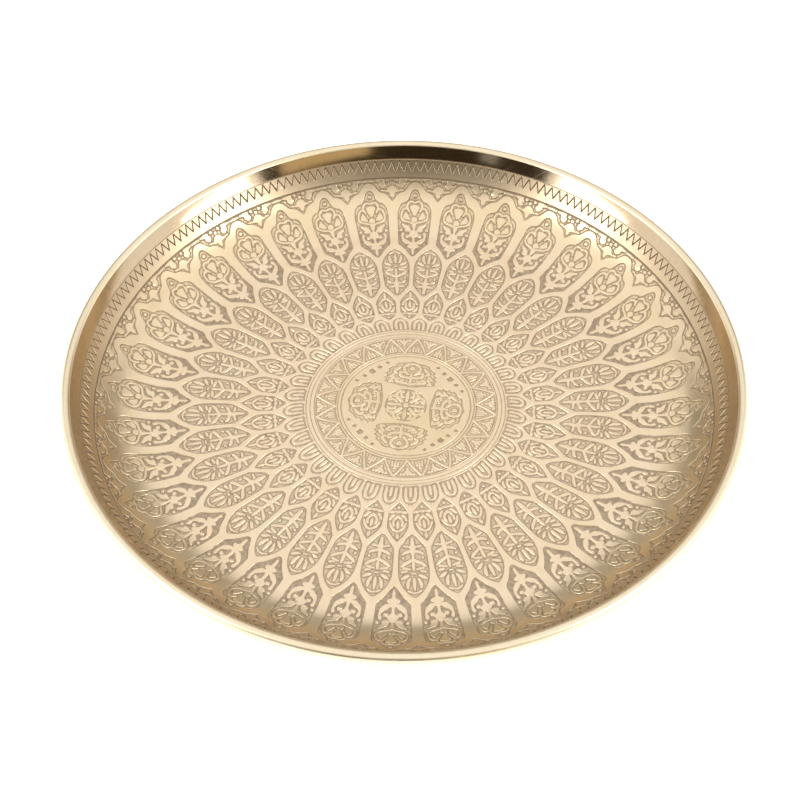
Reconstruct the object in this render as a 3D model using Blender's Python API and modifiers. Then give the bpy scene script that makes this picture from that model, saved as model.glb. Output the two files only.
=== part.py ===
"""A round brass serving tray: one dished sheet with a wired edge.

Metres, +Z up. The origin is the centre of the underside, where the tray stands.
The sheet is flat in the middle, turns up through one arc into a sloping wall that
steepens slightly towards the top, and its edge is rolled outwards and down round a
ring of wire.
"""

from math import acos, cos, radians, sin, tau

import bmesh
import bpy

# The dish.
TRAY_RADIUS = 0.2000  # to the outside of the rolled edge
SHEET = 0.0012  # gauge of the brass
CORNER_RADIUS = 0.0465  # arc from base to wall, on the inside of the dish
WALL_RADIUS = 0.1432  # the wall's own gentle curve, on the inside
WALL_FOOT = radians(52.0)  # slope of the wall where the corner arc ends
WALL_HEAD = radians(61.5)  # slope of the wall where it runs into the roll

# The rolled edge and its wire.
ROLL_RADIUS = 0.0030  # outside of the roll
ROLL_GAP = 0.0005  # slit between the end of the roll and the wall
WIRE_CLEARANCE = 0.0003  # between the wire and the inside of the roll
WIRE_JOINT = 0.0004  # gap between the two butted ends of the wire

# How finely the curves are divided.
TURNS = 96
CORNER_STEPS = 9
WALL_STEPS = 3
ROLL_STEPS = 17
WIRE_STEPS = 96

ROLL_CENTRE_R = TRAY_RADIUS - ROLL_RADIUS
WALL_HEIGHT = CORNER_RADIUS * (1 - cos(WALL_FOOT)) + WALL_RADIUS * (cos(WALL_FOOT) - cos(WALL_HEAD))
WALL_SPREAD = CORNER_RADIUS * sin(WALL_FOOT) + WALL_RADIUS * (sin(WALL_HEAD) - sin(WALL_FOOT))
ROLL_CENTRE_Z = SHEET + WALL_HEIGHT - ROLL_RADIUS * cos(WALL_HEAD)
BASE_RADIUS = ROLL_CENTRE_R - ROLL_RADIUS * sin(WALL_HEAD) - WALL_SPREAD  # the flat middle
ROLL_INSIDE = ROLL_RADIUS - SHEET
WIRE_RADIUS = ROLL_INSIDE - WIRE_CLEARANCE


def clear_scene():
    for item in list(bpy.data.objects):
        bpy.data.objects.remove(item)


def make_collection(name):
    collection = bpy.data.collections.new(name)
    bpy.context.scene.collection.children.link(collection)
    return collection


def make_brass(name, colour, roughness):
    """A Principled metal."""
    material = bpy.data.materials.new(name)
    material.use_nodes = True
    shader = material.node_tree.nodes["Principled BSDF"]
    shader.inputs["Base Color"].default_value = (*colour, 1.0)
    shader.inputs["Metallic"].default_value = 1.0
    shader.inputs["Roughness"].default_value = roughness
    material.diffuse_color = (*colour, 1.0)
    return material


def arc_points(centre_r, centre_z, radius, start, end, steps):
    """Points of an arc in the plane of the profile, both ends included."""
    points = []
    for i in range(steps + 1):
        angle = start + (end - start) * i / steps
        points.append((centre_r + radius * cos(angle), centre_z + radius * sin(angle)))
    return points


def dish_side(offset):
    """The corner and the wall, from the flat up to the roll, at an offset outwards
    from the inside of the dish."""
    bottom = radians(-90)
    corner_z = SHEET + CORNER_RADIUS
    corner = arc_points(
        BASE_RADIUS, corner_z, CORNER_RADIUS + offset, bottom, bottom + WALL_FOOT, CORNER_STEPS
    )
    # The wall's arc shares its tangent with the corner's, so their centres lie on one line.
    along = CORNER_RADIUS - WALL_RADIUS
    wall = arc_points(
        BASE_RADIUS + along * sin(WALL_FOOT),
        corner_z - along * cos(WALL_FOOT),
        WALL_RADIUS + offset,
        bottom + WALL_FOOT,
        bottom + WALL_HEAD,
        WALL_STEPS,
    )
    return corner + wall[1:]


def sheet_profile():
    """The closed outline of the sheet: out along the inside of the dish, round
    the roll, then back down the outside and in along the underside."""
    # The roll's outer and inner arcs start where the two faces of the wall end.
    roll_start = WALL_HEAD + radians(90)
    slit = acos((ROLL_INSIDE - ROLL_GAP) / ROLL_RADIUS)
    roll_end = roll_start - tau + slit
    over = arc_points(
        ROLL_CENTRE_R, ROLL_CENTRE_Z, ROLL_RADIUS, roll_start, roll_end, ROLL_STEPS
    )
    under = arc_points(
        ROLL_CENTRE_R, ROLL_CENTRE_Z, ROLL_INSIDE, roll_end, roll_start, ROLL_STEPS
    )
    inside = dish_side(0.0)[:-1]
    outside = dish_side(SHEET)[-2::-1]
    return [(0.0, SHEET), *inside, *over, *under, *outside, (0.0, 0.0)]


def add_tray_body(collection, material):
    """Turns the outline once round the Z axis with a Screw modifier."""
    shell = bmesh.new()
    outline = [shell.verts.new((r, 0.0, z)) for r, z in sheet_profile()]
    for first, second in zip(outline, outline[1:]):
        shell.edges.new((first, second))
    mesh = bpy.data.meshes.new("tray_body")
    shell.to_mesh(mesh)
    shell.free()
    tray = bpy.data.objects.new("tray_body", mesh)
    turn = tray.modifiers.new("turn", "SCREW")
    turn.angle = tau
    turn.steps = TURNS
    turn.render_steps = TURNS
    turn.use_merge_vertices = True
    turn.merge_threshold = 0.00002
    turn.use_smooth_shade = True
    turn.use_normal_calculate = False
    mesh.materials.append(material)
    collection.objects.link(tray)
    return tray


def add_rim_wire(collection, material):
    """One length of round wire bent to a ring, with its two ends butted."""
    curve = bpy.data.curves.new("rim_wire", "CURVE")
    curve.dimensions = "3D"
    curve.bevel_depth = WIRE_RADIUS
    curve.bevel_resolution = 4
    curve.use_fill_caps = True
    ring = curve.splines.new("POLY")
    ring.points.add(WIRE_STEPS)
    gap = WIRE_JOINT / ROLL_CENTRE_R
    for i, point in enumerate(ring.points):
        angle = gap / 2 + (tau - gap) * i / WIRE_STEPS
        point.co = (
            ROLL_CENTRE_R * cos(angle),
            ROLL_CENTRE_R * sin(angle),
            ROLL_CENTRE_Z,
            1.0,
        )
    ring.use_smooth = True
    curve.materials.append(material)
    wire = bpy.data.objects.new("rim_wire", curve)
    collection.objects.link(wire)
    return wire


def build():
    clear_scene()
    collection = make_collection("brass_tray")
    sheet_brass = make_brass("tray_brass", (0.80, 0.58, 0.30), 0.32)
    wire_brass = make_brass("wire_brass", (0.72, 0.50, 0.24), 0.40)
    add_tray_body(collection, sheet_brass)
    add_rim_wire(collection, wire_brass)


build()
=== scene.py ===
"""The looks of the brass tray: a satin brass sheet chased all over its inside.

Metres in the scene; the drawing of the pattern is in degrees round the tray and in
millimetres out from its centre, measured along the sheet. The pattern repeats every
ten degrees and every repeat mirrors, so it is drawn once, over five degrees: from the
axis of a petal (0) to the axis of a leaf (5), halfway to the next petal.
"""

from math import acos, cos, pi, radians, sin, tau

import bpy
import numpy as np
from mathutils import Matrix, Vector


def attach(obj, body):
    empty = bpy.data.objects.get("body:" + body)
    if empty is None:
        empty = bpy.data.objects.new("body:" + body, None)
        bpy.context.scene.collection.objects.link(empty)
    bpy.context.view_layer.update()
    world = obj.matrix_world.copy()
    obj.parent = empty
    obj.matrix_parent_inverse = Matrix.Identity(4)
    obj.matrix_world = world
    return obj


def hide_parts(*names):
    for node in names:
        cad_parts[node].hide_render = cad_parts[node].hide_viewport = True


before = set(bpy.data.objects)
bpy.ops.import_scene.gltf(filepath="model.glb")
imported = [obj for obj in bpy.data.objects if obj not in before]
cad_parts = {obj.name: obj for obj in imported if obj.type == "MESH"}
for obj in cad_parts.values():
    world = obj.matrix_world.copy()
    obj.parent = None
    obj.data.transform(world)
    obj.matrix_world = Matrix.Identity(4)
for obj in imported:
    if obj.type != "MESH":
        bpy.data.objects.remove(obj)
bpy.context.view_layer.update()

MM = 0.001

# ---------------------------------------------------------------- the shape of the sheet
SHEET = 1.2  # gauge
TRAY_RADIUS = 200.0
CORNER_RADIUS = 46.5  # arc from the base to the wall, on the inside
WALL_RADIUS = 143.2  # the wall's own gentle curve
WALL_FOOT = radians(52.0)  # slope where the corner ends
WALL_HEAD = radians(61.5)  # slope where the wall runs into the roll
ROLL_RADIUS = 3.0  # the rolled edge, outside
ROLL_SLIT = 0.5  # between the end of the roll and the wall
WIRE_RADIUS = 1.5
WIRE_JOINT = 0.4  # gap between the butted ends of the wire


def bend(radius, start, end):
    """How far out and up an arc of the profile goes, from one slope to another."""
    return radius * np.array([sin(end) - sin(start), cos(start) - cos(end)])


ROLL_START = WALL_HEAD + pi / 2
CORNER_RISE = bend(CORNER_RADIUS, 0, WALL_FOOT)
SIDE_RISE = CORNER_RISE + bend(WALL_RADIUS, WALL_FOOT, WALL_HEAD)
ROLL_IN = ROLL_RADIUS * np.array([cos(ROLL_START), sin(ROLL_START)])
ROLL_CENTRE = np.array([TRAY_RADIUS - ROLL_RADIUS, SHEET + SIDE_RISE[1] - ROLL_IN[1]])
BASE_RADIUS = ROLL_CENTRE[0] + ROLL_IN[0] - SIDE_RISE[0]  # the flat middle
CORNER_CENTRE = np.array([BASE_RADIUS, SHEET + CORNER_RADIUS])
WALL_CENTRE = CORNER_CENTRE + (CORNER_RADIUS - WALL_RADIUS) * np.array(
    [sin(WALL_FOOT), -cos(WALL_FOOT)]
)
CORNER_END = BASE_RADIUS + CORNER_RADIUS * WALL_FOOT  # the same places, along the sheet
SHEET_END = CORNER_END + WALL_RADIUS * (WALL_HEAD - WALL_FOOT)

# ---------------------------------------------------------------- the pattern
REPEATS = 36
HALF = 180 / REPEATS  # degrees in half a repeat
RINGS_TURN = radians(-2.4)  # turns a petal off the middle of the back
SLOPE = 0.30  # width of the sides of a cut
LINE_WIDTH = 0.38  # how wide the chisel's line is at full depth, round every shape
LINE_FADE = 0.45  # from the line up to the matted ground
SWELL = 0.10  # added to the half width of every stroke
# For each kind of panel: the line's depth, and the share of it that the ground keeps.
PETAL_CUT = (0.46, 0.42)
PETAL_FOOT_GROUND = 0.86  # the ground at the foot of a petal
PETAL_FOOT = (150.0, 158.0)  # where that deeper ground ends
SPANDREL_CUT = (0.40, 0.45)
LEAF_CUT = (0.38, 0.55)
BUD_CUT = (0.36, 0.58)
ARCLET_CUT = (0.32, 0.40)
MEDALLION_CUT = (0.29, 0.45)
DOT_CUT = (0.34, 0.85)
ZIGZAG_DEPTH = 0.36
FAR = 1e6
PANEL_MARGIN, BLOB_MARGIN, STROKE_MARGIN = 1.0, 2.0, 3.5  # how far round a shape it counts

# One side of a petal's panel, from the tip of its arch down to its point.
PETAL_PANEL = [
    (0, 181.9), (0.45, 181.4), (0.85, 180.2), (1.15, 178.4), (1.4, 176.4), (1.7, 174.6),
    (2.1, 173.6), (2.6, 173.1), (3.05, 172.4), (3.45, 171.1), (3.75, 169.2), (3.9, 166.8),
    (3.97, 162.9), (3.98, 153.8), (3.98, 144.8), (3.95, 141.6), (3.8, 140.4), (3.2, 138.6),
    (2.6, 136.9), (2.1, 135.2), (1.6, 133.3), (1.1, 131.4), (0.6, 129.8), (0.25, 129.2),
    (0, 129.1),
]
# The upper edge of the arches, from the tip over a petal to the cusp between two.
ARCH_EDGE = [
    (0, 186.3), (0.4, 186.1), (0.8, 185.6), (1.2, 184.6), (1.6, 183), (2, 181.3), (2.35, 180.3),
    (2.8, 179.9), (3.3, 179.3), (3.8, 178.3), (4.25, 176.7), (4.6, 175.3), (4.85, 174.4),
    (5, 174.2),
]
SPANDREL_TOP = 189.6
# What stands up inside a petal. A blob is an outline; a stroke's points have a half width too.
PETAL_BLOBS = [
    [
        (0, 171.2), (0.5, 171.2), (0.85, 171), (0.98, 170.2), (0.85, 168.9), (0.65, 167.4),
        (0.42, 165.9), (0.28, 164.8), (0, 164.6),
    ],
    [
        (1.95, 166.7), (1.6, 165.2), (1.2, 163.2), (0.98, 161.8), (1.25, 161.1), (1.7, 161.2),
        (2.2, 161.9), (2.55, 162.9), (2.55, 163.9), (2.28, 165.4),
    ],
    [(0, 158.5), (0.5, 158.4), (0.45, 156.8), (0.3, 155.3), (0.18, 153.8), (0, 152.8)],
    [
        (0.6, 152.5), (0.85, 154.1), (1.05, 155.5), (1.4, 156.5), (2, 157.2), (2.75, 158.2),
        (2.95, 157.7), (2.6, 156.3), (2.25, 155.2), (2.05, 154.1), (2.2, 153.2), (1.9, 152.3),
        (1.4, 151.9), (1, 152),
    ],
    [
        (0, 152.4), (0.55, 152.2), (0.95, 151.6), (1, 150.8), (1.05, 150.1), (1.25, 149.2),
        (1.1, 148.4), (0.7, 147.9), (0.4, 147.2), (0.29, 145.7), (0.27, 143.9), (0.4, 142.4),
        (0, 141.8),
    ],
    [
        (0.95, 147.1), (1.3, 147.3), (1.7, 146.8), (1.95, 147.3), (1.95, 148.3), (1.7, 149.1),
        (1.35, 148.9), (1.2, 148),
    ],
    [
        (2.75, 151.2), (3.05, 150.2), (3.1, 148.4), (3.02, 146), (2.9, 144.3), (2.6, 143.1),
        (2.2, 142.1), (1.9, 141.3), (1.5, 140.9), (1.1, 140.8), (0.7, 140.5), (0, 140.4),
        (0, 142.4), (0.35, 142.5), (0.75, 142.7), (1, 143.1), (1.4, 144.3), (1.9, 145.1),
        (2.35, 146), (2.6, 147.2), (2.55, 148.7), (2.35, 149.8), (2.45, 150.8),
    ],
    [
        (0, 140.7), (0.6, 140.5), (1.05, 140.1), (1.4, 139.2), (1.48, 138.4), (1.2, 137.7),
        (0.8, 137.5), (0.47, 137), (0.35, 136.3), (0.32, 133.9), (0.28, 132.5), (0, 132),
    ],
]
PETAL_STROKES = [
    [(0, 177.6, 0.9), (0.01, 177.5, 0.9)],
    [
        (0, 172.9, 0.42), (0.45, 173.5, 0.48), (0.9, 173.8, 0.48), (1.3, 173.2, 0.48),
        (1.6, 172, 0.42), (1.7, 170.7, 0.36), (1.6, 169.4, 0.36), (1.35, 168, 0.3),
    ],
    [
        (1.2, 167, 0.3), (1.5, 168.4, 0.48), (1.95, 169.1, 0.54), (2.4, 168.8, 0.48),
        (2.75, 167.7, 0.42), (2.95, 166.1, 0.42), (3.05, 164.1, 0.42), (3, 162.4, 0.42),
        (2.65, 161.1, 0.48), (2.1, 160, 0.48), (1.4, 159.4, 0.48), (0.7, 158.8, 0.48),
        (0, 157.9, 0.48),
    ],
    [(0, 161.2, 1.75), (0.01, 161.2, 1.75)],
    [(3.15, 153.5, 0.72), (3.16, 153.4, 0.72)],
]
# Between the arches, measured from the middle of the gap between two petals.
SPANDREL_BLOBS = [
    [
        (3.6, 188.4), (3.78, 187.8), (3.5, 187.2), (2.85, 186.8), (2.72, 185.8), (2.75, 184.8),
        (2.35, 183.5), (1.95, 182.9), (1.55, 183.6), (1.3, 184.9), (1.55, 186.2), (1.72, 187.1),
        (1.62, 188.4), (2, 188.8), (2.9, 188.7),
    ],
    [
        (0, 184.1), (0.45, 183.9), (0.75, 183.4), (0.9, 182.3), (1.35, 181.3), (1.75, 180.8),
        (1.2, 180.3), (0.7, 179.9), (0.42, 179), (0.33, 177.6), (0, 177),
    ],
]
SPANDREL_STROKES = [
    [(0.93, 187.8, 0.84), (0.94, 187.8, 0.84)],
    [(0, 186, 0.87), (0.01, 186, 0.87)],
    [(1.75, 181.3, 0.36), (2.3, 181.4, 0.42)],
    [(4.1, 187.8, 0.48), (5, 187.9, 0.54)],
]
# One leaf, measured from its own axis.
LEAF_PANEL = [
    (0, 136.7), (0.5, 136.3), (1, 135.4), (1.5, 134.3), (2, 133), (2.5, 131.5), (3, 129.7),
    (3.5, 127.5), (3.9, 125), (4.15, 122.8), (4.3, 120), (4.35, 116.4), (4.35, 111.6),
    (4.35, 107.4), (4.3, 104.7), (4.1, 102.9), (3.6, 101.1), (3, 99.3), (2.4, 97.7), (1.8, 96.1),
    (1.2, 94.8), (0.6, 94), (0, 93.7),
]
LEAF_STROKES = [
    [(0, 133.5, 0.3), (0.8, 133.1, 0.3), (1.5, 132, 0.24)],
    [(0, 131.3, 0.3), (0, 129.1, 0.6), (0, 126.7, 0.75), (0, 124, 0.48)],
    [(1.7, 129.9, 0.36), (1.68, 127.9, 0.78), (1.5, 125.8, 0.66), (1.05, 123.8, 0.3)],
    [(3.15, 124, 0.42), (2.6, 123.2, 0.72), (2, 122.2, 0.6), (1.4, 121.5, 0.24)],
    [(3.2, 119.8, 0.36), (2.6, 119.3, 0.54), (1.9, 119, 0.3)],
    [(0, 120.6, 0.36), (0.4, 120.6, 0.3)],
    [(2.7, 116.9, 0.54), (1.7, 117.3, 0.72), (1, 117.7, 0.42)],
    [(0, 118, 0.36), (0, 115.8, 0.69), (0, 113.7, 0.6)],
    [
        (3.4, 115.8, 0.3), (2.6, 114.1, 0.72), (1.7, 113, 0.66), (0.9, 112, 0.54),
        (0.1, 111, 0.54),
    ],
    [(2.9, 110.1, 0.48), (2.9, 109.7, 0.48)],
    [(3, 107.4, 0.36), (2.2, 106.3, 0.72), (1.3, 105.7, 0.66), (0.4, 105.1, 0.66)],
    [(2.7, 101.9, 0.36), (1.8, 102.1, 0.6), (0.9, 102.4, 0.6), (0.3, 102.8, 0.78)],
    [
        (0, 113.1, 0.54), (0, 108.6, 0.6), (0, 105, 1.09), (0, 103.1, 1.21), (0, 100.4, 0.97),
        (0, 96.9, 0.6),
    ],
]
# The small six-sided panels inside the leaves, on the petal axes.
BUD_PANEL = [
    (0, 99.3), (0.5, 98.3), (1.2, 96.9), (2, 95.1), (2.8, 93), (3.4, 91.2), (3.9, 89.5),
    (4.12, 87.8), (4.15, 84.4), (4.15, 80.8), (4.05, 78.7), (3.5, 77.1), (2.8, 75.6), (2, 74.3),
    (1.2, 73.1), (0.5, 72.3), (0, 72.1),
]
BUD_STROKES = [
    [(0, 96.4, 0.3), (0, 94.8, 0.7), (0, 93.2, 0.45)],
    [(0, 91.8, 0.4), (1.3, 90.7, 0.48), (2.3, 88.6, 0.5), (3.0, 86.2, 0.36)],
    [(0, 89.4, 0.3), (0, 86.8, 0.75), (0, 84.4, 0.4)],
    [(1.5, 87.6, 0.36), (1.8, 85.4, 0.54), (1.35, 82.9, 0.54), (0, 81.2, 0.6)],
    [(3.25, 83.6, 0.4), (2.7, 81.6, 0.54), (1.8, 80.3, 0.4)],
    [(3.4, 78.5, 0.3), (0, 77.9, 0.42)],
    [(2.6, 78.3, 0.8), (2.61, 78.3, 0.8)],
    [(0, 77.9, 0.85), (0.01, 77.9, 0.85)],
    [(0, 75.2, 0.6), (0.01, 75.2, 0.6)],
]
# The ring of little arches round the medallion, on the leaf axes.
ARCLET_PANEL = [
    (0, 73.8), (1.2, 73.5), (2.3, 72.6), (3.2, 71.1), (3.9, 69.4), (4.25, 67.3), (4.35, 64.8),
    (4.35, 61.5), (0, 61.5),
]
ARCLET_STROKES = [
    [
        (0, 71.5, 0.72), (1.1, 71.1, 0.72), (1.95, 69.9, 0.72), (2.4, 67.9, 0.72),
        (2.5, 65.4, 0.66), (2.5, 63.3, 0.54),
    ],
    [(0, 68, 0.36), (0, 66.1, 0.66), (0, 63.3, 0.54)],
]
# Plain rings: place along the sheet, width, depth.
RING_GROOVES = [
    (60.3, 0.8, 0.26),
    (189.5, 1.2, 0.42),
    (201.9, 0.6, 0.20),
]
ZIGZAG = (194.2, 201.0, 0.90)  # foot and head of the zigzag on the wall, and its line width
ZIGZAG_STROKES = 6  # in half a repeat

# The medallion, in degrees and millimetres from its centre. Its wedge mirrors all the way round.
MEDALLION_RADIUS = 59.3
WEDGE = 45.0  # degrees in the wedge that is drawn
MIDDLE_SHIFT = np.array([1.0, 2.2])  # the middle was chased a little off the tray's own axis
MIDDLE_FADE = (60.0, 82.0)  # where that dies out
MEDALLION_TURN = radians(-8.0)  # how far the medallion is turned against the rings
MEDALLION_RINGS = [(57.9, 0.8), (55.5, 0.7), (41.2, 0.9), (39.2, 0.9)]
TRIANGLES = (42.4, 54.6, 0.9)  # inner and outer points of the zigzag, and its line width
TRIANGLE_HALF = 9.0  # degrees from an inner point to the next outer point
TRIANGLE_PAST = 0.2  # how far the cuts between run past the zigzag's points
DISC_RADIUS = 12.8
QUARTER_PANEL = [
    (0, 14.3), (12, 14.8), (22, 16.1), (32, 18.5), (39.5, 21.4), (42, 23.6), (38, 24.8),
    (38.5, 26.6), (33, 27.4), (33.5, 29.2), (28.5, 29.8), (27, 31.8), (20.5, 32.6), (16, 34.6),
    (8, 34.4), (0, 35.8),
]
QUARTER_STROKES = [
    [(0, 16.4, 0.6), (0, 21, 0.8), (0, 25, 0.6)],
    [(0, 29.6, 1.3), (0.1, 29.6, 1.3)],
    [(5, 25, 0.6), (9, 27.6, 0.7), (9, 31, 0.7), (4.5, 33, 0.6), (0, 33.2, 0.6)],
    [(3, 22, 0.6), (10, 22.5, 0.7), (16, 24.6, 0.7), (15, 27, 0.6), (12, 26.4, 0.5)],
    [(14.5, 30.8, 0.6), (18.5, 29.6, 0.7), (22, 28.2, 0.7), (20, 26.6, 0.5)],
    [(6, 17.2, 0.6), (15, 18.2, 0.7), (23, 19.8, 0.7), (24, 22, 0.6), (18.5, 21.8, 0.5)],
    [(26, 24, 0.6), (31, 23, 0.7), (35, 21.8, 0.6), (31, 20.6, 0.5)],
    [(25, 26, 0.6), (31, 25.2, 0.6)],
    [(12.5, 20.2, 0.5), (17, 20.2, 0.4)],
]
DISC_STROKES = [
    [(0, 0, 1.5), (1, 0, 1.5)],
    [(0, 3.6, 0.6), (0, 7.4, 1.0), (0, 10.6, 0.5)],
    [(45, 3.6, 0.6), (45, 7.4, 1.0), (45, 10.6, 0.5)],
    [(14, 11.0, 0.5), (24, 9.6, 0.6), (27, 7.6, 0.6), (20, 6.4, 0.5)],
    [(22, 11.8, 0.5), (33, 11.4, 0.6), (38, 10.2, 0.5)],
]
# Round punch marks on the plain ground between the panels.
DOTS = [(45, 34.2, 2.1), (35.4, 34.6, 1.5), (25.8, 36.0, 1.3)]

# ---------------------------------------------------------------- finish
BRASS_PALE = (0.874, 0.715, 0.51)
BRASS_WARM = (0.864, 0.69, 0.475)
BRASS_DULL = (0.62, 0.46, 0.29)
EDGE_PALE = (0.88, 0.755, 0.55)  # the rolled edge and the outside are cleaner
EDGE_WARM = (0.87, 0.735, 0.51)
PATINA = (0.30, 0.24, 0.18)  # what has settled in the cuts
PATINA_LOW, PATINA_HIGH = 0.50, 0.80  # least and most of it at the bottom of a cut
PATINA_WALL = 0.95  # least of it on the wall
PATINA_CUT = (0.03, 0.40)  # millimetres of cut, from none of it to all of it
BLACKING = (0.085, 0.06, 0.04)  # rubbed into the zigzag
ZIGZAG_BLACKING = 0.5
# Tints of the brass from the middle outwards, the wall's one being painted shade, and the radii
# in metres between which each begins.
MIDDLE_TINT = (0.95, 0.945, 0.89)
CLEAR_TINT = (1.0, 1.0, 1.0)
CORNER_TINT = (0.965, 0.965, 0.91)
# Painted shade on the wall: its brass is darkened to stand in for the dimmer light the wall
# reflects.
PAINTED_WALL_SHADE = (0.645, 0.63, 0.60)
CLEAR_FROM = (0.030, 0.062)
CORNER_FROM = (0.148, 0.166)
WALL_FROM = (0.1690, 0.1885)
BLACKED_FROM = (0.1835, 0.1850)
POLISHED_FROM = (0.1896, 0.1906)  # the plain strip above the zigzag
ROUGH_CHASED, ROUGH_TOP, ROUGH_EDGE = 0.33, 0.11, 0.33
ROUGH_IN_CUT = 0.26  # added at the bottom of a cut
MARK_HEIGHT = 0.0025  # millimetres, turning marks
SCRATCH_DEPTH = 0.002
GRIT_HEIGHT = 0.06
MARK_STRENGTH = 1.0  # of the bump they all share
# Noises: scale, detail and roughness.
TARNISH_NOISE = (26.0, 3.0, 0.55)
GRAIN_NOISE = (420.0, 4.0, 0.6)
UNEVEN_NOISE = (60.0, 3.0, 0.6)
GRIT_NOISE = (1900.0, 2.0, 0.6)
MARK_NOISE = (2600.0, 3.0, 0.6)
SCRATCH_NOISE = (1.0, 1.0, 0.4)
WIRE_NOISE = (700.0, 3.0, 0.6)
FLOOR_NOISE = (30.0, 3.0, 0.5)
# Where in its noise each effect begins and is complete.
WARM_FROM = (0.38, 0.64)
DULL_FROM = (0.45, 0.75)
STAIN_FROM = (0.3, 0.7)
SCRATCH_FROM = (0.66, 0.74)
WIRE_DARK_FROM = (0.4, 0.7)
DULL_MOST = 0.16  # share of the duller brass where the grain is strongest
WIRE_DARK = 0.6
WIRE_ROUGH = (0.34, 0.5)
EDGE_SPREAD = 0.04  # in roughness
UNEVEN_SPREAD = 0.10
SCRATCH_ROUGH = 0.06
SCRATCH_STRETCH = (34.0, 2400.0, 34.0)
SCRATCH_TURNS = (18.0, 74.0, 131.0)
FLOOR_WHITE = (0.93, 0.93, 0.93)
FLOOR_DARKER = 0.985
FLOOR_ROUGH = 0.9
FLOOR_SIZE = 12
FLOOR_DROP = 0.0002  # keeps the floor clear of the underside
FLOOR_GLOW = 0.30  # a table lit from below, so that shadows stay faint

# ---------------------------------------------------------------- light
WORLD = 0.05
WORLD_TINT = (1.0, 0.72, 0.42)  # a warm, dark room
DIM_TINT = (1.0, 0.80, 0.48)
# Radiance, width and height of each softbox.
OVERHEAD = (1.05, 4.4, 4.9)
SIDES = (1.3, 3.4, 1.4)
STRIPS = (5.0, 0.85, 0.95)
DIM_WALL = (0.8, 1.15, 0.75)
DIM_GAP = (0.4, 0.2, 0.6)
BACK_FILL = (0.36, 3.4, 1.1)
FLOOR_FILL = (0.6, 4.0, 4.0)
# Azimuth, elevation and distance of those that stand round the tray.
SIDES_AT = (88, 20, 2.15)
STRIPS_AT = (65, 26, 2.05)
DIM_WALL_AT = (26, 13, 2.3)
DIM_GAP_AT = (-28, 14, 2.3)
# X, Y and Z of the rest, and of the point each is turned towards.
OVERHEAD_AT = ((0, 0.25, 1.7), (0, 0.25, 0))
BACK_FILL_AT = ((0, 2.6, 0.6), (0, 0, 0.6))
FLOOR_FILL_AT = ((0, 0, 3.0), (0, 0.01, 0))

# ---------------------------------------------------------------- camera
SENSOR = 36.0
LENS = 73.8
SHIFT = (-0.0052, 0.0094)
CAMERA_UP = radians(50.05)
CAMERA_AWAY = 0.9902

# ---------------------------------------------------------------- how finely it is modelled
ROWS_PER_MM, COLUMNS, WEDGE_ROWS, WEDGE_COLUMNS = 4.6, 66, 260, 190
SECTOR_SHARE = 0.19  # of the grid's triangles that are kept
WEDGE_SHARE = 0.22
SNAP_S = 0.02  # millimetres: points this near an end of the grid belong on it
SNAP_SECTOR = 0.004  # degrees, for the two straight sides of the grid
SNAP_WEDGE = 0.01
SLOPE_STEP = 0.03  # millimetres, for reading the slope of a cut
WELD_DECIMALS = 4  # of a millimetre
HUB = 0.4  # radius of the smallest ring of the medallion's grid
TURNS = 360  # columns of the plain turned parts
ROLL_STEPS, ROLL_INSIDE_STEPS, WALL_STEPS, CORNER_STEPS = 48, 30, 10, 40
BASE_RINGS = (110, 70, 30, 0)  # radii on the flat underside
WIRE_STEPS, WIRE_SIDES = 240, 20

# Where the visible sheet is divided into pieces, along the sheet.
PIECES = [
    ("arclet_ring", MEDALLION_RADIUS, 76.0),
    ("bud_ring", 76.0, 96.0),
    ("leaf_ring_inner", 96.0, 114.0),
    ("leaf_ring_outer", 114.0, 130.0),
    ("petal_ring_inner", 130.0, 146.0),
    ("petal_ring_middle", 146.0, 162.0),
    ("petal_ring_outer", 162.0, 179.0),
    ("arch_border", 179.0, 193.4),
    ("wall_band", 193.4, SHEET_END),
]


# ---------------------------------------------------------------- along the sheet and back
def sheet_place(s):
    """Radius, height and upward normal of the sheet's inside at each distance s."""
    turn = np.clip((s - BASE_RADIUS) / CORNER_RADIUS, 0, WALL_FOOT)
    lean = WALL_FOOT + np.maximum(s - CORNER_END, 0) / WALL_RADIUS
    turn = np.where(s > CORNER_END, lean, turn)
    corner_r = np.minimum(s, BASE_RADIUS) + CORNER_RADIUS * np.sin(turn)
    corner_z = SHEET + CORNER_RADIUS * (1 - np.cos(turn))
    wall_r = WALL_CENTRE[0] + WALL_RADIUS * np.sin(turn)
    wall_z = WALL_CENTRE[1] - WALL_RADIUS * np.cos(turn)
    on_wall = s > CORNER_END
    r, z = np.where(on_wall, wall_r, corner_r), np.where(on_wall, wall_z, corner_z)
    return r, z, -np.sin(turn), np.cos(turn)


def along_sheet(r, z):
    """The distance s of each point near the sheet."""
    turn = np.arctan2(r - BASE_RADIUS, CORNER_CENTRE[1] - z)
    lean = np.arctan2(r - WALL_CENTRE[0], WALL_CENTRE[1] - z)
    s = np.where(r <= BASE_RADIUS, r, BASE_RADIUS + CORNER_RADIUS * turn)
    return np.where(turn > WALL_FOOT, CORNER_END + WALL_RADIUS * (lean - WALL_FOOT), s)


# ---------------------------------------------------------------- drawing
def smooth_step(t):
    t = np.clip(t, 0, 1)
    return t * t * (3 - 2 * t)


def rounded(points, closed=False, steps=4):
    """A smooth line through points, as a Catmull-Rom curve."""
    p = np.array(points, float)
    if len(p) < 3:
        return p
    ends = (p[-1], p[0], p[1]) if closed else (2 * p[0] - p[1], 2 * p[-1] - p[-2], None)
    padded = np.vstack([ends[0], p, ends[1]] + ([ends[2]] if closed else []))
    t = np.linspace(0, 1, steps, endpoint=False)[:, None]
    parts = []
    for a, b, c, d in zip(padded, padded[1:], padded[2:], padded[3:]):
        parts.append(
            0.5 * (2 * b + (c - a) * t + (2 * a - 5 * b + 4 * c - d) * t**2
                   + (3 * b - a - 3 * c + d) * t**3)
        )
    return np.vstack(parts) if closed else np.vstack(parts + [p[-1:]])


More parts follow.
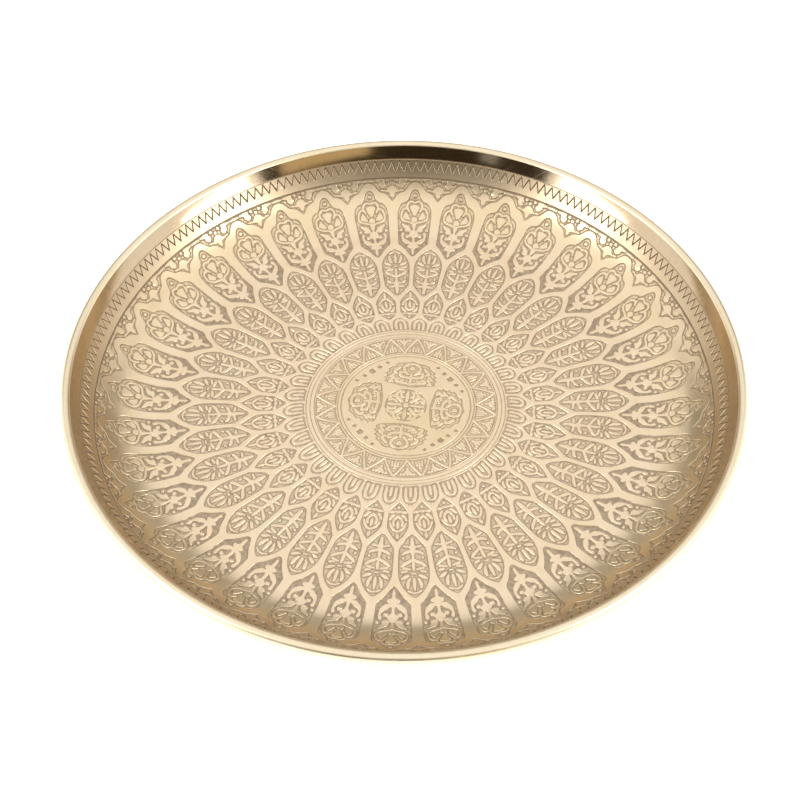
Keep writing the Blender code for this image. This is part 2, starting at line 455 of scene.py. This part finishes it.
def nearest_segment(x, y, line):
    """Distance to a line of points (x, y) or (x, y, half width), less the half width."""
    best = np.full(x.shape, FAR)
    for a, b in zip(line, line[1:]):
        dx, dy = b[0] - a[0], b[1] - a[1]
        span = max(dx * dx + dy * dy, 1e-9)
        t = np.clip(((x - a[0]) * dx + (y - a[1]) * dy) / span, 0, 1)
        away = np.hypot(x - a[0] - t * dx, y - a[1] - t * dy)
        if len(a) > 2:
            away = away - a[2] - t * (b[2] - a[2])
        best = np.minimum(best, away)
    return best


def inside(x, y, outline):
    """Whether each point is inside a closed outline."""
    crossings = np.zeros(x.shape, bool)
    for a, b in zip(outline, np.roll(outline, -1, axis=0)):
        if a[1] == b[1]:
            continue
        spans = (a[1] > y) != (b[1] > y)
        crossings ^= spans & (x < (b[0] - a[0]) * (y - a[1]) / (b[1] - a[1]) + a[0])
    return crossings


class Axis:
    """The sheet laid flat about one axis of the pattern: across it, and out along it."""

    def __init__(self, degrees, s):
        self.x, self.y = self.flat(degrees, s)

    def flat(self, degrees, s):
        return np.radians(degrees) * sheet_place(s)[0], s

    def lay(self, points):
        p = np.array(points, float)
        p[:, 0], p[:, 1] = self.flat(p[:, 0], p[:, 1])
        return p

    def near(self, line, margin):
        low, high = line[:, :2].min(0) - margin, line[:, :2].max(0) + margin
        return (self.x > low[0]) & (self.x < high[0]) & (self.y > low[1]) & (self.y < high[1])


class CentreAxis(Axis):
    """The same for the middle, where the sheet is flat: plain square coordinates."""

    def flat(self, degrees, r):
        turn = np.radians(degrees)
        return r * np.sin(turn), r * np.cos(turn)


def panel_depth(axis, outline):
    """How far inside a panel each point is; negative outside. The panel mirrors on its axis."""
    side = rounded(axis.lay(outline))
    closed = np.vstack([side, side[::-1] * [-1, 1]])
    away = np.full(axis.x.shape, -FAR)
    near = axis.near(closed, PANEL_MARGIN)
    x, y = axis.x[near], axis.y[near]
    edge = nearest_segment(x, y, side)
    away[near] = np.where(inside(x, y, closed), edge, -edge)
    return away


def keep_clear(gap, axis, blobs, strokes):
    """Lowers gap, the distance to whatever stands up, round each shape inside a panel."""
    for outline in blobs:
        shape = rounded(axis.lay(outline), closed=True, steps=3)
        near = axis.near(shape, BLOB_MARGIN)
        x, y = axis.x[near], axis.y[near]
        edge = nearest_segment(x, y, np.vstack([shape, shape[:1]]))
        gap[near] = np.minimum(gap[near], np.where(inside(x, y, shape), -edge, edge))
    for points in strokes:
        line = rounded(axis.lay(points))
        near = axis.near(line, STROKE_MARGIN)
        away = nearest_segment(axis.x[near], axis.y[near], line) - SWELL
        gap[near] = np.minimum(gap[near], away)


def sink(cut, gap, depth, ground):
    """Cuts a chisel line along every edge and a shallower, matted ground between the lines."""
    line = smooth_step(gap / SLOPE)
    floor = 1 - (1 - ground) * smooth_step((gap - SLOPE - LINE_WIDTH) / LINE_FADE)
    np.maximum(cut, depth * line * floor, out=cut)


def groove(cut, away, width, depth):
    """Cuts a rounded groove of a given width where away is the distance to its middle."""
    across = np.clip(1 - (away / (width / 2)) ** 2, 0, 1)
    np.maximum(cut, depth * smooth_step(across), out=cut)


def sink_panel(cut, axis, outline, depth, ground, blobs, strokes):
    gap = panel_depth(axis, outline)
    keep_clear(gap, axis, blobs, strokes)
    sink(cut, gap, depth, ground)


def sink_spandrel(cut, petal, leaf):
    edge = rounded(petal.lay(ARCH_EDGE))
    above = petal.y - np.interp(petal.x, edge[:, 0], edge[:, 1])
    into = np.where(above > 0, 1, -1) * nearest_segment(petal.x, petal.y, edge)
    gap = np.minimum(into, SPANDREL_TOP - petal.y)
    keep_clear(gap, leaf, SPANDREL_BLOBS, SPANDREL_STROKES)
    sink(cut, gap, *SPANDREL_CUT)


def cut_zigzag(cut, degrees, s):
    """A row of narrow Vs cut into the wall."""
    foot, head, width = ZIGZAG
    radius = sheet_place((foot + head) / 2)[0]
    tooth = HALF / ZIGZAG_STROKES
    across = np.radians(np.abs((degrees / tooth) % 2 - 1) * tooth) * radius
    line = np.array([[0, foot], [radians(tooth) * radius, head]])
    groove(cut, nearest_segment(across, s, line), width, ZIGZAG_DEPTH)


def sector_cut(degrees, s):
    """Depth of the chasing, in millimetres, over half a repeat."""
    cut = np.zeros(s.shape)
    petal, leaf = Axis(degrees, s), Axis(HALF - degrees, s)
    depth, ground = PETAL_CUT
    ground = np.interp(s, PETAL_FOOT, (PETAL_FOOT_GROUND, ground))
    sink_panel(cut, petal, PETAL_PANEL, depth, ground, PETAL_BLOBS, PETAL_STROKES)
    sink_panel(cut, leaf, LEAF_PANEL, *LEAF_CUT, [], LEAF_STROKES)
    sink_panel(cut, petal, BUD_PANEL, *BUD_CUT, [], BUD_STROKES)
    sink_panel(cut, leaf, ARCLET_PANEL, *ARCLET_CUT, [], ARCLET_STROKES)
    sink_spandrel(cut, petal, leaf)
    for place, width, depth in RING_GROOVES:
        groove(cut, np.abs(s - place), width, depth)
    cut_zigzag(cut, degrees, s)
    return cut


def medallion_cut(degrees, r):
    """Depth of the chasing over one eighth of the medallion."""
    cut = np.zeros(r.shape)
    quarter = CentreAxis(degrees, r)
    sink_panel(cut, quarter, QUARTER_PANEL, *MEDALLION_CUT, [], QUARTER_STROKES)
    gap = DISC_RADIUS - r
    keep_clear(gap, quarter, [], DISC_STROKES)
    sink(cut, gap, *MEDALLION_CUT)
    for place, width in MEDALLION_RINGS:
        groove(cut, np.abs(r - place), width, MEDALLION_CUT[0])
    for turn, place, size in DOTS:
        x, y = place * sin(radians(turn)), place * cos(radians(turn))
        sink(cut, size - np.hypot(quarter.x - x, quarter.y - y), *DOT_CUT)
    cut_triangles(cut, degrees, r)
    return cut


def cut_triangles(cut, degrees, r):
    """The ring of triangles: a plain zigzag left standing, with small cuts between."""
    low, high, width = TRIANGLES
    middle = (low + high) / 2
    across = np.radians(np.abs((degrees / TRIANGLE_HALF) % 2 - 1) * TRIANGLE_HALF) * middle
    reach = radians(TRIANGLE_HALF) * middle
    away = nearest_segment(across, r, np.array([[0, low], [reach, high]]))
    past = TRIANGLE_PAST
    gap = np.minimum(away - width / 2, np.minimum(r - low + past, high + past - r))
    # What stands up: two strokes in the triangles that point outwards, three in the others.
    strokes = [
        [(reach, low + 1.6, 0.4), (reach, low + 6.5, 0.5)],
        [(reach - 2.0, low + 1.6, 0.4), (reach - 1.5, low + 4.5, 0.45)],
        [(0, high - 1.6, 0.4), (0, high - 6.0, 0.6)],
        [(2.0, high - 1.6, 0.5), (0.8, high - 3.8, 0.4)],
        [(3.4, high - 1.4, 0.4), (3.5, high - 1.8, 0.5)],
    ]
    for line in strokes:
        gap = np.minimum(gap, nearest_segment(across, r, np.array(line)) - SWELL)
    sink(cut, gap, *MEDALLION_CUT)


# ---------------------------------------------------------------- from the drawing to a mesh
def sheet_points(degrees, s, cut):
    """Places of points of the inside of the sheet, in millimetres."""
    r, z, nr, nz = sheet_place(s)
    r, z = r - cut * nr, z - cut * nz
    turn = np.radians(degrees)
    return np.stack([r * np.cos(turn), r * np.sin(turn), z], axis=-1)


def sheet_normals(degrees, s, cut_at, half):
    """Exact normals of the chased surface, from the slopes of the cut. Only half a repeat
    is drawn, so a place beyond either mirror line is read at its mirror image."""
    step = SLOPE_STEP
    r, _, nr, nz = sheet_place(s)
    swing = np.degrees(step / np.maximum(r, 1.0))
    slope_s = (cut_at(degrees, s + step) - cut_at(degrees, s - step)) / (2 * step)
    ahead, behind = degrees + swing, degrees - swing
    ahead = half - np.abs(half - ahead)
    slope_a = (cut_at(ahead, s) - cut_at(np.abs(behind), s)) / (2 * step)
    turn = np.radians(degrees)
    out_r, out_z = nr + slope_s * nz, nz - slope_s * nr
    normals = np.stack([
        out_r * np.cos(turn) - slope_a * np.sin(turn),
        out_r * np.sin(turn) + slope_a * np.cos(turn),
        out_z,
    ], axis=-1)
    return normals / np.linalg.norm(normals, axis=1, keepdims=True)


def grid_faces(rows, columns):
    """The quads of a grid of points laid out row by row."""
    at = np.arange(rows * columns).reshape(rows, columns)
    return np.stack([at[:-1, :-1], at[:-1, 1:], at[1:, 1:], at[1:, :-1]], axis=-1).reshape(-1, 4)


def simplified(points, faces, share):
    """Blender's own collapse of a dense grid, as (points, triangles)."""
    mesh = bpy.data.meshes.new("dense")
    mesh.from_pydata(points, [], faces)
    dense = bpy.data.objects.new("dense", mesh)
    bpy.context.scene.collection.objects.link(dense)
    collapse = dense.modifiers.new("collapse", "DECIMATE")
    collapse.ratio = share
    collapse.use_collapse_triangulate = True
    evaluated = dense.evaluated_get(bpy.context.evaluated_depsgraph_get())
    result = evaluated.to_mesh()
    kept = np.empty(len(result.vertices) * 3, np.float32)
    result.vertices.foreach_get("co", kept)
    result.calc_loop_triangles()
    triangles = np.empty(len(result.loop_triangles) * 3, np.int32)
    result.loop_triangles.foreach_get("vertices", triangles)
    evaluated.to_mesh_clear()
    bpy.data.objects.remove(dense)
    bpy.data.meshes.remove(mesh)
    return kept.reshape(-1, 3).astype(float), triangles.reshape(-1, 3)


def repeat_round(degrees, s, triangles, cut_at, half, turn=0.0):
    """Copies half a repeat, mirrored and turned, all the way round.
    Returns points, normals, cut and triangles, with the shared edges welded."""
    cut = cut_at(degrees, s)
    normals = sheet_normals(degrees, s, cut_at, half)
    points = sheet_points(degrees, s, cut)
    all_points, all_normals, all_triangles = [], [], []
    count = int(round(360 / (2 * half)))
    for k in range(count):
        for flip in (1, -1):
            spin = radians(2 * half * k) + turn
            rotate = np.array([[cos(spin), -sin(spin), 0], [sin(spin), cos(spin), 0], [0, 0, 1]])
            mirror = np.array([1, flip, 1])
            start = len(points) * len(all_points)
            all_points.append((points * mirror) @ rotate.T)
            all_normals.append((normals * mirror) @ rotate.T)
            all_triangles.append((triangles if flip > 0 else triangles[:, ::-1]) + start)
    points, normals = np.vstack(all_points), np.vstack(all_normals)
    cut = np.tile(cut, 2 * count)
    triangles = np.vstack(all_triangles)
    _, first, index = np.unique(
        np.round(points, WELD_DECIMALS), axis=0, return_index=True, return_inverse=True
    )
    return points[first], normals[first], cut[first], index.reshape(-1)[triangles]


def shift_middle(points):
    """Moves the middle of the pattern off the tray's axis, within the flat of the sheet."""
    low, high = MIDDLE_FADE
    out = np.hypot(points[:, 0], points[:, 1])
    share = 1 - smooth_step((out - low) / (high - low))
    points[:, :2] += share[:, None] * MIDDLE_SHIFT


def add_mesh(name, points, triangles, normals, cut, material):
    """A smooth object from points in millimetres, with its normals and depths of cut if given."""
    used, index = np.unique(triangles, return_inverse=True)
    mesh = bpy.data.meshes.new(name)
    corners = index.reshape(-1).astype(np.int32)
    mesh.vertices.add(len(used))
    mesh.vertices.foreach_set("co", (points[used] * MM).astype(np.float32).ravel())
    mesh.loops.add(len(corners))
    mesh.loops.foreach_set("vertex_index", corners)
    mesh.polygons.add(len(corners) // 3)
    mesh.polygons.foreach_set("loop_start", np.arange(0, len(corners), 3, dtype=np.int32))
    mesh.update(calc_edges=True)
    mesh.polygons.foreach_set("use_smooth", np.ones(len(corners) // 3, bool))
    if normals is not None:
        mesh.normals_split_custom_set_from_vertices(normals[used])
    if cut is not None:
        depth = mesh.attributes.new("cut_mm", "FLOAT", "POINT")
        depth.data.foreach_set("value", cut[used].astype(np.float32))
    mesh.materials.append(material)
    piece = bpy.data.objects.new(name, mesh)
    bpy.context.scene.collection.objects.link(piece)
    return piece


def wear_as(piece, node):
    """Sets the piece in the frame, in place of a node of the CAD."""
    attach(piece, "root")
    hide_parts(node)


def drop_flat(triangles):
    """Leaves out triangles that welding has closed."""
    whole = (
        (triangles[:, 0] != triangles[:, 1])
        & (triangles[:, 1] != triangles[:, 2])
        & (triangles[:, 0] != triangles[:, 2])
    )
    return triangles[whole]


def add_chased_rings(material):
    """The patterned part of the sheet, from the medallion to the rolled edge."""
    rows = int((SHEET_END - MEDALLION_RADIUS) * ROWS_PER_MM)
    s_grid, a_grid = np.meshgrid(
        np.linspace(MEDALLION_RADIUS, SHEET_END, rows), np.linspace(0, HALF, COLUMNS),
        indexing="ij",
    )
    s, degrees = s_grid.ravel(), a_grid.ravel()
    dense = sheet_points(degrees, s, sector_cut(degrees, s))
    faces = grid_faces(rows, COLUMNS)[:, ::-1]
    kept, triangles = simplified(dense, faces, SECTOR_SHARE)
    degrees = np.degrees(np.arctan2(kept[:, 1], kept[:, 0]))
    degrees[degrees < SNAP_SECTOR] = 0
    degrees[degrees > HALF - SNAP_SECTOR] = HALF
    s = along_sheet(np.hypot(kept[:, 0], kept[:, 1]), kept[:, 2])
    s = np.clip(s, MEDALLION_RADIUS, SHEET_END)
    s[s < MEDALLION_RADIUS + SNAP_S] = MEDALLION_RADIUS
    s[s > SHEET_END - SNAP_S] = SHEET_END
    points, normals, cut, triangles = repeat_round(
        degrees, s, triangles, sector_cut, HALF, RINGS_TURN
    )
    triangles = drop_flat(triangles)
    middle = points[triangles].mean(axis=1)
    shift_middle(points)
    place = along_sheet(np.hypot(middle[:, 0], middle[:, 1]), middle[:, 2])
    for name, low, high in PIECES:
        chosen = (place >= low) | (low == MEDALLION_RADIUS)
        chosen &= (place < high) | (high == SHEET_END)
        piece = add_mesh(name, points, triangles[chosen], normals, cut, material)
        wear_as(piece, "tray_body")


def add_medallion(material):
    """The flat middle of the sheet, as a wedge repeated all the way round."""
    r_grid, a_grid = np.meshgrid(
        np.linspace(HUB, MEDALLION_RADIUS, WEDGE_ROWS), np.linspace(0, WEDGE, WEDGE_COLUMNS),
        indexing="ij",
    )
    r, degrees = r_grid.ravel(), a_grid.ravel()
    dense = sheet_points(degrees, r, medallion_cut(degrees, r))
    faces = [tuple(f) for f in grid_faces(WEDGE_ROWS, WEDGE_COLUMNS)[:, ::-1]]
    centre = np.zeros((2, 1))
    dense = np.vstack([dense, sheet_points(*centre, medallion_cut(*centre))])
    hub = len(dense) - 1
    faces += [(hub, k, k + 1) for k in range(WEDGE_COLUMNS - 1)]
    kept, triangles = simplified(dense, faces, WEDGE_SHARE)
    degrees = np.degrees(np.arctan2(kept[:, 1], kept[:, 0]))
    degrees[degrees < SNAP_WEDGE] = 0
    degrees[degrees > WEDGE - SNAP_WEDGE] = WEDGE
    r = np.hypot(kept[:, 0], kept[:, 1])
    r[r > MEDALLION_RADIUS - SNAP_S] = MEDALLION_RADIUS
    points, normals, cut, triangles = repeat_round(
        degrees, r, triangles, medallion_cut, WEDGE, MEDALLION_TURN
    )
    shift_middle(points)
    piece = add_mesh("medallion", points, drop_flat(triangles), normals, cut, material)
    wear_as(piece, "tray_body")


# ---------------------------------------------------------------- plain turned parts
def arc(centre, radius, start, end, steps):
    """Points (radius, height) of an arc of the profile."""
    angles = np.linspace(start, end, steps + 1)
    return np.stack([
        centre[0] + radius * np.cos(angles), centre[1] + radius * np.sin(angles)
    ], axis=-1)


def turned(name, profile, material):
    """A surface turned round the Z axis from points (radius, height)."""
    rows, columns = len(profile), TURNS
    angles = np.linspace(0, tau, columns, endpoint=False)
    r, z = profile[:, 0][:, None], profile[:, 1][:, None]
    points = np.stack([
        r * np.cos(angles), r * np.sin(angles), z * np.ones_like(angles)
    ], axis=-1).reshape(-1, 3)
    at = np.arange(rows * columns).reshape(rows, columns)
    nxt = np.roll(at, -1, axis=1)
    quads = np.stack([at[:-1], at[1:], nxt[1:], nxt[:-1]], axis=-1).reshape(-1, 4)
    triangles = np.vstack([quads[:, [0, 1, 2]], quads[:, [0, 2, 3]]])
    _, first, index = np.unique(
        np.round(points, WELD_DECIMALS), axis=0, return_index=True, return_inverse=True
    )
    triangles = drop_flat(index.reshape(-1)[triangles])
    return add_mesh(name, points[first], triangles, None, None, material)


def roll_end():
    """The angle at which the roll ends, short of the wall by the slit."""
    inner = ROLL_RADIUS - SHEET
    return ROLL_START - tau + acos((inner - ROLL_SLIT) / ROLL_RADIUS)


def add_rolled_edge(material):
    """The roll, from where it leaves the wall to its cut end, outside and inside."""
    over = arc(ROLL_CENTRE, ROLL_RADIUS, ROLL_START, roll_end(), ROLL_STEPS)
    under = arc(ROLL_CENTRE, ROLL_RADIUS - SHEET, roll_end(), ROLL_START, ROLL_INSIDE_STEPS)
    piece = turned("rolled_edge", np.vstack([over, under]), material)
    wear_as(piece, "tray_body")


def add_underside(material):
    """The outside of the wall and the plain underside."""
    down = -pi / 2
    wall = arc(WALL_CENTRE, WALL_RADIUS + SHEET, WALL_HEAD + down, WALL_FOOT + down, WALL_STEPS)
    corner = arc(CORNER_CENTRE, CORNER_RADIUS + SHEET, WALL_FOOT + down, down, CORNER_STEPS)
    rings = [(radius, 0.0) for radius in BASE_RINGS]
    piece = turned("underside", np.vstack([wall, corner[1:], rings]), material)
    wear_as(piece, "tray_body")


def add_wire(material):
    """The wire in the edge, with its two ends butted."""
    gap = WIRE_JOINT / ROLL_CENTRE[0]
    along, round_it = WIRE_STEPS, WIRE_SIDES
    turn = np.linspace(gap / 2, tau - gap / 2, along)
    section = np.linspace(0, tau, round_it, endpoint=False)
    r = ROLL_CENTRE[0] + WIRE_RADIUS * np.cos(section)
    z = ROLL_CENTRE[1] + WIRE_RADIUS * np.sin(section)
    points = np.stack([
        np.outer(np.cos(turn), r), np.outer(np.sin(turn), r), np.outer(np.ones(along), z)
    ], axis=-1).reshape(-1, 3)
    at = np.arange(along * round_it).reshape(along, round_it)
    nxt = np.roll(at, -1, axis=1)
    quads = np.stack([at[:-1], at[1:], nxt[1:], nxt[:-1]], axis=-1).reshape(-1, 4)
    fans = [(0, k, k + 1) for k in range(1, round_it - 1)]
    last = (along - 1) * round_it
    fans += [(last, last + k + 1, last + k) for k in range(1, round_it - 1)]
    triangles = np.vstack([quads[:, [0, 1, 2]], quads[:, [0, 2, 3]], fans])
    piece = add_mesh("edge_wire", points, triangles, None, None, material)
    wear_as(piece, "rim_wire")


# ---------------------------------------------------------------- materials
class Nodes:
    """A short way to add and join shader nodes."""

    def __init__(self, material):
        material.use_nodes = True
        self.tree = material.node_tree
        self.shader = self.tree.nodes["Principled BSDF"]

    def add(self, kind, **settings):
        node = self.tree.nodes.new(kind)
        for name, value in settings.items():
            setattr(node, name, value)
        return node

    def join(self, source, target):
        self.tree.links.new(source, target)

    def math(self, operation, a, b=None, clamp=False):
        node = self.add("ShaderNodeMath", operation=operation, use_clamp=clamp)
        for slot, value in enumerate((a, b)):
            if value is None:
                continue
            if isinstance(value, (int, float)):
                node.inputs[slot].default_value = value
            else:
                self.join(value, node.inputs[slot])
        return node.outputs[0]

    def ramp(self, value, low, high, at_low, at_high):
        node = self.add("ShaderNodeMapRange", interpolation_type="SMOOTHSTEP")
        self.join(value, node.inputs["Value"])
        for name, number in zip(("From Min", "From Max", "To Min", "To Max"),
                                (low, high, at_low, at_high)):
            node.inputs[name].default_value = number
        return node.outputs["Result"]

    def mix(self, share, a, b):
        node = self.add("ShaderNodeMix", data_type="RGBA")
        if isinstance(share, (int, float)):
            node.inputs[0].default_value = share
        else:
            self.join(share, node.inputs[0])
        for slot, value in ((6, a), (7, b)):
            if isinstance(value, tuple):
                node.inputs[slot].default_value = (*value, 1.0)
            else:
                self.join(value, node.inputs[slot])
        return node.outputs[2]

    def tinted(self, colour, tint):
        node = self.add("ShaderNodeMix", data_type="RGBA", blend_type="MULTIPLY")
        node.inputs[0].default_value = 1.0
        self.join(colour, node.inputs[6])
        self.join(tint, node.inputs[7])
        return node.outputs[2]

    def noise(self, vector, scale, detail=2.0, roughness=0.5):
        node = self.add("ShaderNodeTexNoise")
        node.inputs["Scale"].default_value = scale
        node.inputs["Detail"].default_value = detail
        node.inputs["Roughness"].default_value = roughness
        self.join(vector, node.inputs["Vector"])
        return node.outputs["Fac"]

    def stretched(self, vector, scale, turn=0.0):
        node = self.add("ShaderNodeMapping")
        node.inputs["Scale"].default_value = scale
        node.inputs["Rotation"].default_value = (0, 0, radians(turn))
        self.join(vector, node.inputs["Vector"])
        return node.outputs["Vector"]


def brass_place(nodes):
    """Object coordinates, and the distance from the tray's axis."""
    place = nodes.add("ShaderNodeTexCoord").outputs["Object"]
    flat = nodes.add("ShaderNodeVectorMath", operation="MULTIPLY")
    nodes.join(place, flat.inputs[0])
    flat.inputs[1].default_value = (1, 1, 0)
    length = nodes.add("ShaderNodeVectorMath", operation="LENGTH")
    nodes.join(flat.outputs["Vector"], length.inputs[0])
    return place, length.outputs["Value"]


def turning_marks(nodes, place, radius):
    """Fine rings left by turning and polishing: noise that only changes outwards and upwards."""
    split = nodes.add("ShaderNodeSeparateXYZ")
    nodes.join(place, split.inputs[0])
    across = nodes.add("ShaderNodeCombineXYZ")
    nodes.join(radius, across.inputs[0])
    nodes.join(split.outputs["Z"], across.inputs[1])
    return nodes.noise(across.outputs[0], *MARK_NOISE)


def scratches(nodes, place):
    """Hairline wear in three directions."""
    total = None
    for turn in SCRATCH_TURNS:
        lines = nodes.noise(nodes.stretched(place, SCRATCH_STRETCH, turn), *SCRATCH_NOISE)
        thin = nodes.ramp(lines, *SCRATCH_FROM, 0.0, 1.0)
        total = thin if total is None else nodes.math("MAXIMUM", total, thin)
    return total


def make_brass(name, chased):
    """Satin brass. Where it is chased, patina lies in the cuts and the wall is darkened with
    painted shade.
    """
    material = bpy.data.materials.new(name)
    nodes = Nodes(material)
    place, radius = brass_place(nodes)
    shader = nodes.shader
    shader.inputs["Metallic"].default_value = 1.0

    tarnish = nodes.noise(place, *TARNISH_NOISE)
    pale, deep = (BRASS_PALE, BRASS_WARM) if chased else (EDGE_PALE, EDGE_WARM)
    warm = nodes.mix(nodes.ramp(tarnish, *WARM_FROM, 0.0, 1.0), pale, deep)
    grain = nodes.noise(place, *GRAIN_NOISE)
    colour = nodes.mix(nodes.ramp(grain, *DULL_FROM, 0.0, DULL_MOST), warm, BRASS_DULL)

    wear = scratches(nodes, place)
    marks = turning_marks(nodes, place, radius)
    if chased:
        cut = nodes.add("ShaderNodeAttribute", attribute_name="cut_mm").outputs["Fac"]
        low = nodes.ramp(cut, *PATINA_CUT, 0.0, 1.0)
        wall = nodes.ramp(radius, *WALL_FROM, 0.0, 1.0)
        stain = nodes.ramp(grain, *STAIN_FROM, PATINA_LOW, PATINA_HIGH)
        stain = nodes.math("MAXIMUM", stain, nodes.math("MULTIPLY", wall, PATINA_WALL))
        colour = nodes.mix(nodes.math("MULTIPLY", low, stain), colour, PATINA)
        shade = nodes.mix(nodes.ramp(radius, *CLEAR_FROM, 0.0, 1.0), MIDDLE_TINT, CLEAR_TINT)
        shade = nodes.mix(nodes.ramp(radius, *CORNER_FROM, 0.0, 1.0), shade, CORNER_TINT)
        # Painted shade: the wall's brass is darkened to stand in for the dimmer light it
        # reflects.
        shade = nodes.mix(wall, shade, PAINTED_WALL_SHADE)
        colour = nodes.tinted(colour, shade)
        blacked = nodes.ramp(radius, *BLACKED_FROM, 0.0, ZIGZAG_BLACKING)
        colour = nodes.mix(nodes.math("MULTIPLY", low, blacked), colour, BLACKING)
        plain = nodes.ramp(radius, *POLISHED_FROM, ROUGH_CHASED, ROUGH_TOP)
        rough = nodes.math("ADD", plain, nodes.math("MULTIPLY", low, ROUGH_IN_CUT))
        grit = nodes.math("MULTIPLY", nodes.noise(place, *GRIT_NOISE), low)
    else:
        rough = nodes.ramp(grain, *STAIN_FROM, ROUGH_EDGE, ROUGH_EDGE + EDGE_SPREAD)
        grit = None
    uneven = nodes.math("SUBTRACT", nodes.noise(place, *UNEVEN_NOISE), 0.5)
    rough = nodes.math("ADD", rough, nodes.math("MULTIPLY", uneven, UNEVEN_SPREAD))
    worn = nodes.math("MULTIPLY", wear, SCRATCH_ROUGH)
    rough = nodes.math("ADD", rough, worn, clamp=True)
    nodes.join(colour, shader.inputs["Base Color"])
    nodes.join(rough, shader.inputs["Roughness"])

    height = nodes.math("MULTIPLY", marks, MARK_HEIGHT)
    height = nodes.math("SUBTRACT", height, nodes.math("MULTIPLY", wear, SCRATCH_DEPTH))
    if grit is not None:
        height = nodes.math("ADD", height, nodes.math("MULTIPLY", grit, GRIT_HEIGHT))
    bump = nodes.add("ShaderNodeBump")
    bump.inputs["Strength"].default_value = MARK_STRENGTH
    bump.inputs["Distance"].default_value = MM
    nodes.join(height, bump.inputs["Height"])
    nodes.join(bump.outputs["Normal"], shader.inputs["Normal"])
    return material


def make_wire_brass():
    """Drawn wire, never polished."""
    material = bpy.data.materials.new("wire_brass")
    nodes = Nodes(material)
    place, _ = brass_place(nodes)
    grain = nodes.noise(place, *WIRE_NOISE)
    colour = nodes.mix(nodes.ramp(grain, *WIRE_DARK_FROM, 0.0, WIRE_DARK), BRASS_WARM, PATINA)
    nodes.join(colour, nodes.shader.inputs["Base Color"])
    nodes.shader.inputs["Metallic"].default_value = 1.0
    nodes.join(nodes.ramp(grain, *STAIN_FROM, *WIRE_ROUGH), nodes.shader.inputs["Roughness"])
    return material


# ---------------------------------------------------------------- floor, light and camera
def make_floor_white():
    material = bpy.data.materials.new("floor_white")
    nodes = Nodes(material)
    place = nodes.add("ShaderNodeTexCoord").outputs["Object"]
    grain = nodes.noise(place, *FLOOR_NOISE)
    darker = tuple(FLOOR_DARKER * c for c in FLOOR_WHITE)
    nodes.join(nodes.mix(grain, FLOOR_WHITE, darker), nodes.shader.inputs["Base Color"])
    nodes.shader.inputs["Roughness"].default_value = FLOOR_ROUGH
    nodes.shader.inputs["Emission Color"].default_value = (1.0, 1.0, 1.0, 1.0)
    nodes.shader.inputs["Emission Strength"].default_value = FLOOR_GLOW
    return material


def add_floor():
    half = FLOOR_SIZE / 2
    corners = [(-half, -half, 0), (half, -half, 0), (half, half, 0), (-half, half, 0)]
    mesh = bpy.data.meshes.new("floor")
    mesh.from_pydata(corners, [], [(0, 1, 2, 3)])
    mesh.materials.append(make_floor_white())
    floor = bpy.data.objects.new("floor", mesh)
    floor.location.z = -FLOOR_DROP
    bpy.context.scene.collection.objects.link(floor)


def around(azimuth, elevation, distance, side=1):
    """A place seen from the tray; azimuth 0 is towards the camera, positive to its right."""
    level = distance * cos(radians(elevation))
    turn = radians(azimuth) * side
    return (level * sin(turn), -level * cos(turn), distance * sin(radians(elevation)))


def add_softbox(name, place, aim, box, glossy=True):
    """A rectangular soft light at place, turned towards aim."""
    radiance, width, height = box
    light = bpy.data.lights.new(name, "AREA")
    light.shape = "RECTANGLE"
    light.size, light.size_y = width, height
    light.energy = radiance * pi * width * height
    lamp = bpy.data.objects.new(name, light)
    lamp.location = place
    lamp.rotation_euler = (Vector(place) - Vector(aim)).to_track_quat("Z", "Y").to_euler()
    lamp.visible_glossy = glossy
    bpy.context.scene.collection.objects.link(lamp)
    return lamp


def light_scene():
    """A light tent: bright above and at both sides, dim behind the tray and behind the camera."""
    world = bpy.data.worlds.new("studio")
    world.use_nodes = True
    background = world.node_tree.nodes["Background"]
    background.inputs["Color"].default_value = (*WORLD_TINT, 1.0)
    background.inputs["Strength"].default_value = WORLD
    bpy.context.scene.world = world
    add_softbox("overhead", *OVERHEAD_AT, OVERHEAD)
    for side, name in ((1, "right"), (-1, "left")):
        place = around(*SIDES_AT, side)
        add_softbox("side_" + name, place, (0, 0, place[2]), SIDES)
        add_softbox("strip_" + name, around(*STRIPS_AT, side), (0, 0, 0), STRIPS)
    dim = add_softbox("dim_wall", around(*DIM_WALL_AT), (0, 0, 0), DIM_WALL)
    dim.data.color = DIM_TINT
    add_softbox("dim_gap", around(*DIM_GAP_AT), (0, 0, 0), DIM_GAP)
    add_softbox("back_fill", *BACK_FILL_AT, BACK_FILL)
    add_softbox("floor_fill", *FLOOR_FILL_AT, FLOOR_FILL, glossy=False)


def place_camera():
    """From about fifty degrees up, a metre away."""
    camera = bpy.data.cameras.new("camera")
    camera.sensor_width = SENSOR
    camera.lens = LENS
    camera.shift_x, camera.shift_y = SHIFT
    camera.clip_start = 0.01
    eye = bpy.data.objects.new("camera", camera)
    aim = Vector((0, 0, SHEET * MM))
    eye.location = aim + CAMERA_AWAY * Vector((0, -cos(CAMERA_UP), sin(CAMERA_UP)))
    eye.rotation_euler = (eye.location - aim).to_track_quat("Z", "Y").to_euler()
    bpy.context.scene.collection.objects.link(eye)
    bpy.context.scene.camera = eye


def build():
    chased = make_brass("tray_brass", chased=True)
    plain = make_brass("edge_brass", chased=False)
    add_chased_rings(chased)
    add_medallion(chased)
    add_rolled_edge(plain)
    add_underside(plain)
    add_wire(make_wire_brass())
    light_scene()
    add_floor()
    place_camera()
    bpy.context.scene.view_settings.view_transform = "Standard"


build()
